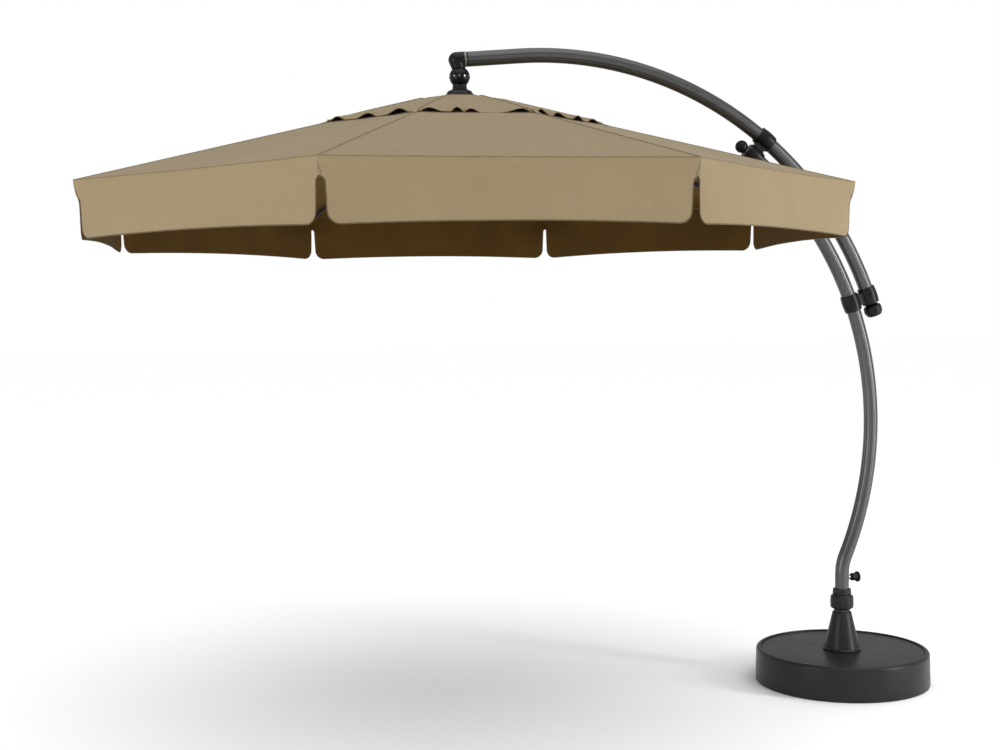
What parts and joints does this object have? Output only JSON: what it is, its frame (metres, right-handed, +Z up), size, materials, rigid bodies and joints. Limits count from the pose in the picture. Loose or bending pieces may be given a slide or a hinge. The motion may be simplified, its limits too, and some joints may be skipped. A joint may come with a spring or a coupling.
{
  "type": "cantilever parasol",
  "caption": "Free-arm garden parasol: curved mast on a round weighted base, sliding curved arm with ball joint, octagonal folding canopy with vent cap and slit valance.",
  "frame": {"origin": "centre of the base's underside", "axes": "+Z up; the mast and the arm lie in the XZ plane and the canopy hangs on the -X side"},
  "size_m": [4.0643, 3.387, 3.084],
  "materials": {
    "moulded_black": "injection moulded black plastic, fine grain",
    "cast_black": "die-cast, black powder coat",
    "anthracite_coat": "fluted aluminium-look steel tube, anthracite powder coat, satin",
    "rib_coat": "steel section, anthracite powder coat",
    "galvanised_steel": "zinc-plated steel",
    "bright_steel": "nickel-plated steel",
    "nylon_grey": "grey nylon bearing plastic",
    "ballast_gravel": "washed ballast",
    "canopy_cloth": "khaki woven polyester, water-repellent"
  },
  "bodies": {
    "base": {"base_tub": "moulded_black", "base_lid": "moulded_black", "cross_frame": "galvanised_steel", "ballast_fill": "ballast_gravel", "socket_tube": "galvanised_steel", "base_cone": "moulded_black", "clamp_collet": "nylon_grey"},
    "foot_nut_ring": {"clamp_nut": "moulded_black"},
    "mast": {"mast_tube": "anthracite_coat", "foot_ring": "moulded_black", "swivel_bushes": "nylon_grey", "foot_nut": "galvanised_steel", "upper_bracket": "cast_black", "upper_liner": "nylon_grey"},
    "foot_screw_slide": {"foot_screw": "galvanised_steel"},
    "foot_hand_knob": {"foot_knob": "moulded_black"},
    "upper_lock": {"upper_knob": "moulded_black", "upper_spindle": "bright_steel"},
    "upper_brake": {"upper_shoe": "nylon_grey"},
    "arm": {"arm_tube": "anthracite_coat", "lower_bracket": "cast_black", "lower_liner": "nylon_grey", "elbow": "cast_black"},
    "lower_lock": {"lower_knob": "moulded_black", "lower_spindle": "bright_steel"},
    "lower_brake": {"lower_shoe": "nylon_grey"},
    "gimbal": {"gimbal_cross": "galvanised_steel"},
    "ball": {"ball_shell": "cast_black", "ball_screws": "bright_steel"},
    "canopy_hub": {"neck": "cast_black", "crown": "moulded_black", "crown_pins": "galvanised_steel", "centre_pole": "anthracite_coat"},
    "runner_slide": {"runner": "moulded_black"},
    "runner_latch": {"latch_pin": "bright_steel"},
    "rib_arm_1": {"rib_1": "rib_coat", "canopy_panel_1": "canopy_cloth"},
    "strut_link_1": {"strut_1": "rib_coat"},
    "rib_arm_2": {"rib_2": "rib_coat", "canopy_panel_2": "canopy_cloth"},
    "strut_link_2": {"strut_2": "rib_coat"},
    "rib_arm_3": {"rib_3": "rib_coat", "canopy_panel_3": "canopy_cloth"},
    "strut_link_3": {"strut_3": "rib_coat"},
    "rib_arm_4": {"rib_4": "rib_coat", "canopy_panel_4": "canopy_cloth"},
    "strut_link_4": {"strut_4": "rib_coat"},
    "rib_arm_5": {"rib_5": "rib_coat", "canopy_panel_5": "canopy_cloth"},
    "strut_link_5": {"strut_5": "rib_coat"},
    "rib_arm_6": {"rib_6": "rib_coat", "canopy_panel_6": "canopy_cloth"},
    "strut_link_6": {"strut_6": "rib_coat"},
    "rib_arm_7": {"rib_7": "rib_coat", "canopy_panel_7": "canopy_cloth"},
    "strut_link_7": {"strut_7": "rib_coat"},
    "rib_arm_8": {"rib_8": "rib_coat", "canopy_panel_8": "canopy_cloth"},
    "strut_link_8": {"strut_8": "rib_coat"}
  },
  "joints": [
    {"name": "mast_swivel", "type": "hinge", "parent": "base", "child": "mast", "pos_m": [0, 0, 0.4], "axis": [0, 0, 1], "continuous": true},
    {"name": "clamp_nut_turn", "type": "hinge", "parent": "base", "child": "foot_nut_ring", "pos_m": [0, 0, 0.4], "axis": [0, 0, 1], "range_deg": [0, 270]},
    {"name": "foot_screw_feed", "type": "slide", "parent": "mast", "child": "foot_screw_slide", "axis": [1, 0, 0], "range_m": [0, 0.00125]},
    {"name": "foot_knob_turn", "type": "hinge", "parent": "foot_screw_slide", "child": "foot_hand_knob", "pos_m": [0.07, 0, 0.52], "axis": [1, 0, 0], "range_deg": [0, 360]},
    {"name": "upper_knob_turn", "type": "hinge", "parent": "mast", "child": "upper_lock", "pos_m": [-0.48365, 0, 2.60507], "axis": [-0.7923, 0, 0.6101], "range_deg": [0, 180]},
    {"name": "upper_brake_press", "type": "slide", "parent": "mast", "child": "upper_brake", "axis": [-0.6101, 0, -0.7923], "range_m": [0, 0.002]},
    {"name": "arm_slide", "type": "hinge", "parent": "mast", "child": "arm", "pos_m": [-1.491, 0, 1.297], "axis": [0, -1, 0], "range_deg": [0, 24]},
    {"name": "lower_knob_turn", "type": "hinge", "parent": "arm", "child": "lower_lock", "pos_m": [0.14447, 0, 1.92807], "axis": [-0.36, 0, 0.933], "range_deg": [0, 180]},
    {"name": "lower_brake_press", "type": "slide", "parent": "arm", "child": "lower_brake", "axis": [0.933, 0, 0.36], "range_m": [0, 0.002]},
    {"name": "canopy_tilt", "type": "hinge", "parent": "arm", "child": "gimbal", "pos_m": [-1.944, 0, 2.936], "axis": [0, 1, 0], "range_deg": [0, 15]},
    {"name": "canopy_roll", "type": "hinge", "parent": "gimbal", "child": "ball", "pos_m": [-1.944, 0, 2.936], "axis": [1, 0, 0], "range_deg": [-12, 12]},
    {"name": "canopy_spin", "type": "hinge", "parent": "ball", "child": "canopy_hub", "pos_m": [-1.944, 0, 2.936], "axis": [0, 0, 1], "range_deg": [0, 16]},
    {"name": "canopy_fold", "type": "hinge", "parent": "canopy_hub", "child": "rib_arm_1", "pos_m": [-1.84723, 0.02521, 2.8267], "axis": [-0.2521, 0.9677, 0], "range_deg": [0, 71], "deforming": ["canopy_panel_1", "canopy_panel_2", "canopy_panel_3", "canopy_panel_4", "canopy_panel_5", "canopy_panel_6", "canopy_panel_7", "canopy_panel_8"]},
    {"name": "strut_1_fold", "type": "hinge", "parent": "rib_arm_1", "child": "strut_link_1", "pos_m": [-1.62738, 0.08247, 2.76659], "axis": [-0.2521, 0.9677, 0], "range_deg": [-142, 0]},
    {"name": "rib_2_fold", "type": "hinge", "parent": "canopy_hub", "child": "rib_arm_2", "pos_m": [-1.8934, 0.08625, 2.8267], "axis": [-0.8625, 0.506, 0], "range_deg": [0, 71]},
    {"name": "strut_2_fold", "type": "hinge", "parent": "rib_arm_2", "child": "strut_link_2", "pos_m": [-1.77843, 0.2822, 2.76659], "axis": [-0.8625, 0.506, 0], "range_deg": [-142, 0]},
    {"name": "rib_3_fold", "type": "hinge", "parent": "canopy_hub", "child": "rib_arm_3", "pos_m": [-1.96921, 0.09677, 2.8267], "axis": [-0.9677, -0.2521, 0], "range_deg": [0, 71]},
    {"name": "strut_3_fold", "type": "hinge", "parent": "rib_arm_3", "child": "strut_link_3", "pos_m": [-2.02647, 0.31662, 2.76659], "axis": [-0.9677, -0.2521, 0], "range_deg": [-142, 0]},
    {"name": "rib_4_fold", "type": "hinge", "parent": "canopy_hub", "child": "rib_arm_4", "pos_m": [-2.03025, 0.0506, 2.8267], "axis": [-0.506, -0.8625, 0], "range_deg": [0, 71]},
    {"name": "strut_4_fold", "type": "hinge", "parent": "rib_arm_4", "child": "strut_link_4", "pos_m": [-2.2262, 0.16557, 2.76659], "axis": [-0.506, -0.8625, 0], "range_deg": [-142, 0]},
    {"name": "rib_5_fold", "type": "hinge", "parent": "canopy_hub", "child": "rib_arm_5", "pos_m": [-2.04077, -0.02521, 2.8267], "axis": [0.2521, -0.9677, 0], "range_deg": [0, 71]},
    {"name": "strut_5_fold", "type": "hinge", "parent": "rib_arm_5", "child": "strut_link_5", "pos_m": [-2.26062, -0.08247, 2.76659], "axis": [0.2521, -0.9677, 0], "range_deg": [-142, 0]},
    {"name": "rib_6_fold", "type": "hinge", "parent": "canopy_hub", "child": "rib_arm_6", "pos_m": [-1.9946, -0.08625, 2.8267], "axis": [0.8625, -0.506, 0], "range_deg": [0, 71]},
    {"name": "strut_6_fold", "type": "hinge", "parent": "rib_arm_6", "child": "strut_link_6", "pos_m": [-2.10957, -0.2822, 2.76659], "axis": [0.8625, -0.506, 0], "range_deg": [-142, 0]},
    {"name": "rib_7_fold", "type": "hinge", "parent": "canopy_hub", "child": "rib_arm_7", "pos_m": [-1.91879, -0.09677, 2.8267], "axis": [0.9677, 0.2521, 0], "range_deg": [0, 71]},
    {"name": "strut_7_fold", "type": "hinge", "parent": "rib_arm_7", "child": "strut_link_7", "pos_m": [-1.86153, -0.31662, 2.76659], "axis": [0.9677, 0.2521, 0], "range_deg": [-142, 0]},
    {"name": "rib_8_fold", "type": "hinge", "parent": "canopy_hub", "child": "rib_arm_8", "pos_m": [-1.85775, -0.0506, 2.8267], "axis": [0.506, 0.8625, 0], "range_deg": [0, 71]},
    {"name": "strut_8_fold", "type": "hinge", "parent": "rib_arm_8", "child": "strut_link_8", "pos_m": [-1.6618, -0.16557, 2.76659], "axis": [0.506, 0.8625, 0], "range_deg": [-142, 0]},
    {"name": "runner_travel", "type": "slide", "parent": "canopy_hub", "child": "runner_slide", "axis": [0, 0, -1], "range_m": [0, 0.34854]},
    {"name": "latch_pull", "type": "slide", "parent": "runner_slide", "child": "runner_latch", "axis": [0.7976, 0.6032, 0], "range_m": [0, 0.005], "stiffness_N_per_m": 300, "springref_m": -0.002}
  ],
  "couplings": [
    {"joint": "foot_screw_feed", "follows": "foot_knob_turn", "m_per_rad": 0.00019894},
    {"joint": "upper_brake_press", "follows": "upper_knob_turn", "m_per_rad": 0.00063662},
    {"joint": "lower_brake_press", "follows": "lower_knob_turn", "m_per_rad": 0.00063662},
    {"joint": "rib_2_fold", "follows": "canopy_fold", "ratio": 1},
    {"joint": "rib_3_fold", "follows": "canopy_fold", "ratio": 1},
    {"joint": "rib_4_fold", "follows": "canopy_fold", "ratio": 1},
    {"joint": "rib_5_fold", "follows": "canopy_fold", "ratio": 1},
    {"joint": "rib_6_fold", "follows": "canopy_fold", "ratio": 1},
    {"joint": "rib_7_fold", "follows": "canopy_fold", "ratio": 1},
    {"joint": "rib_8_fold", "follows": "canopy_fold", "ratio": 1},
    {"joint": "strut_1_fold", "follows": "canopy_fold", "ratio": -2},
    {"joint": "strut_2_fold", "follows": "canopy_fold", "ratio": -2},
    {"joint": "strut_3_fold", "follows": "canopy_fold", "ratio": -2},
    {"joint": "strut_4_fold", "follows": "canopy_fold", "ratio": -2},
    {"joint": "strut_5_fold", "follows": "canopy_fold", "ratio": -2},
    {"joint": "strut_6_fold", "follows": "canopy_fold", "ratio": -2},
    {"joint": "strut_7_fold", "follows": "canopy_fold", "ratio": -2},
    {"joint": "strut_8_fold", "follows": "canopy_fold", "ratio": -2},
    {"joint": "runner_travel", "follows": "canopy_fold", "m_per_rad": 0.28126}
  ]
}
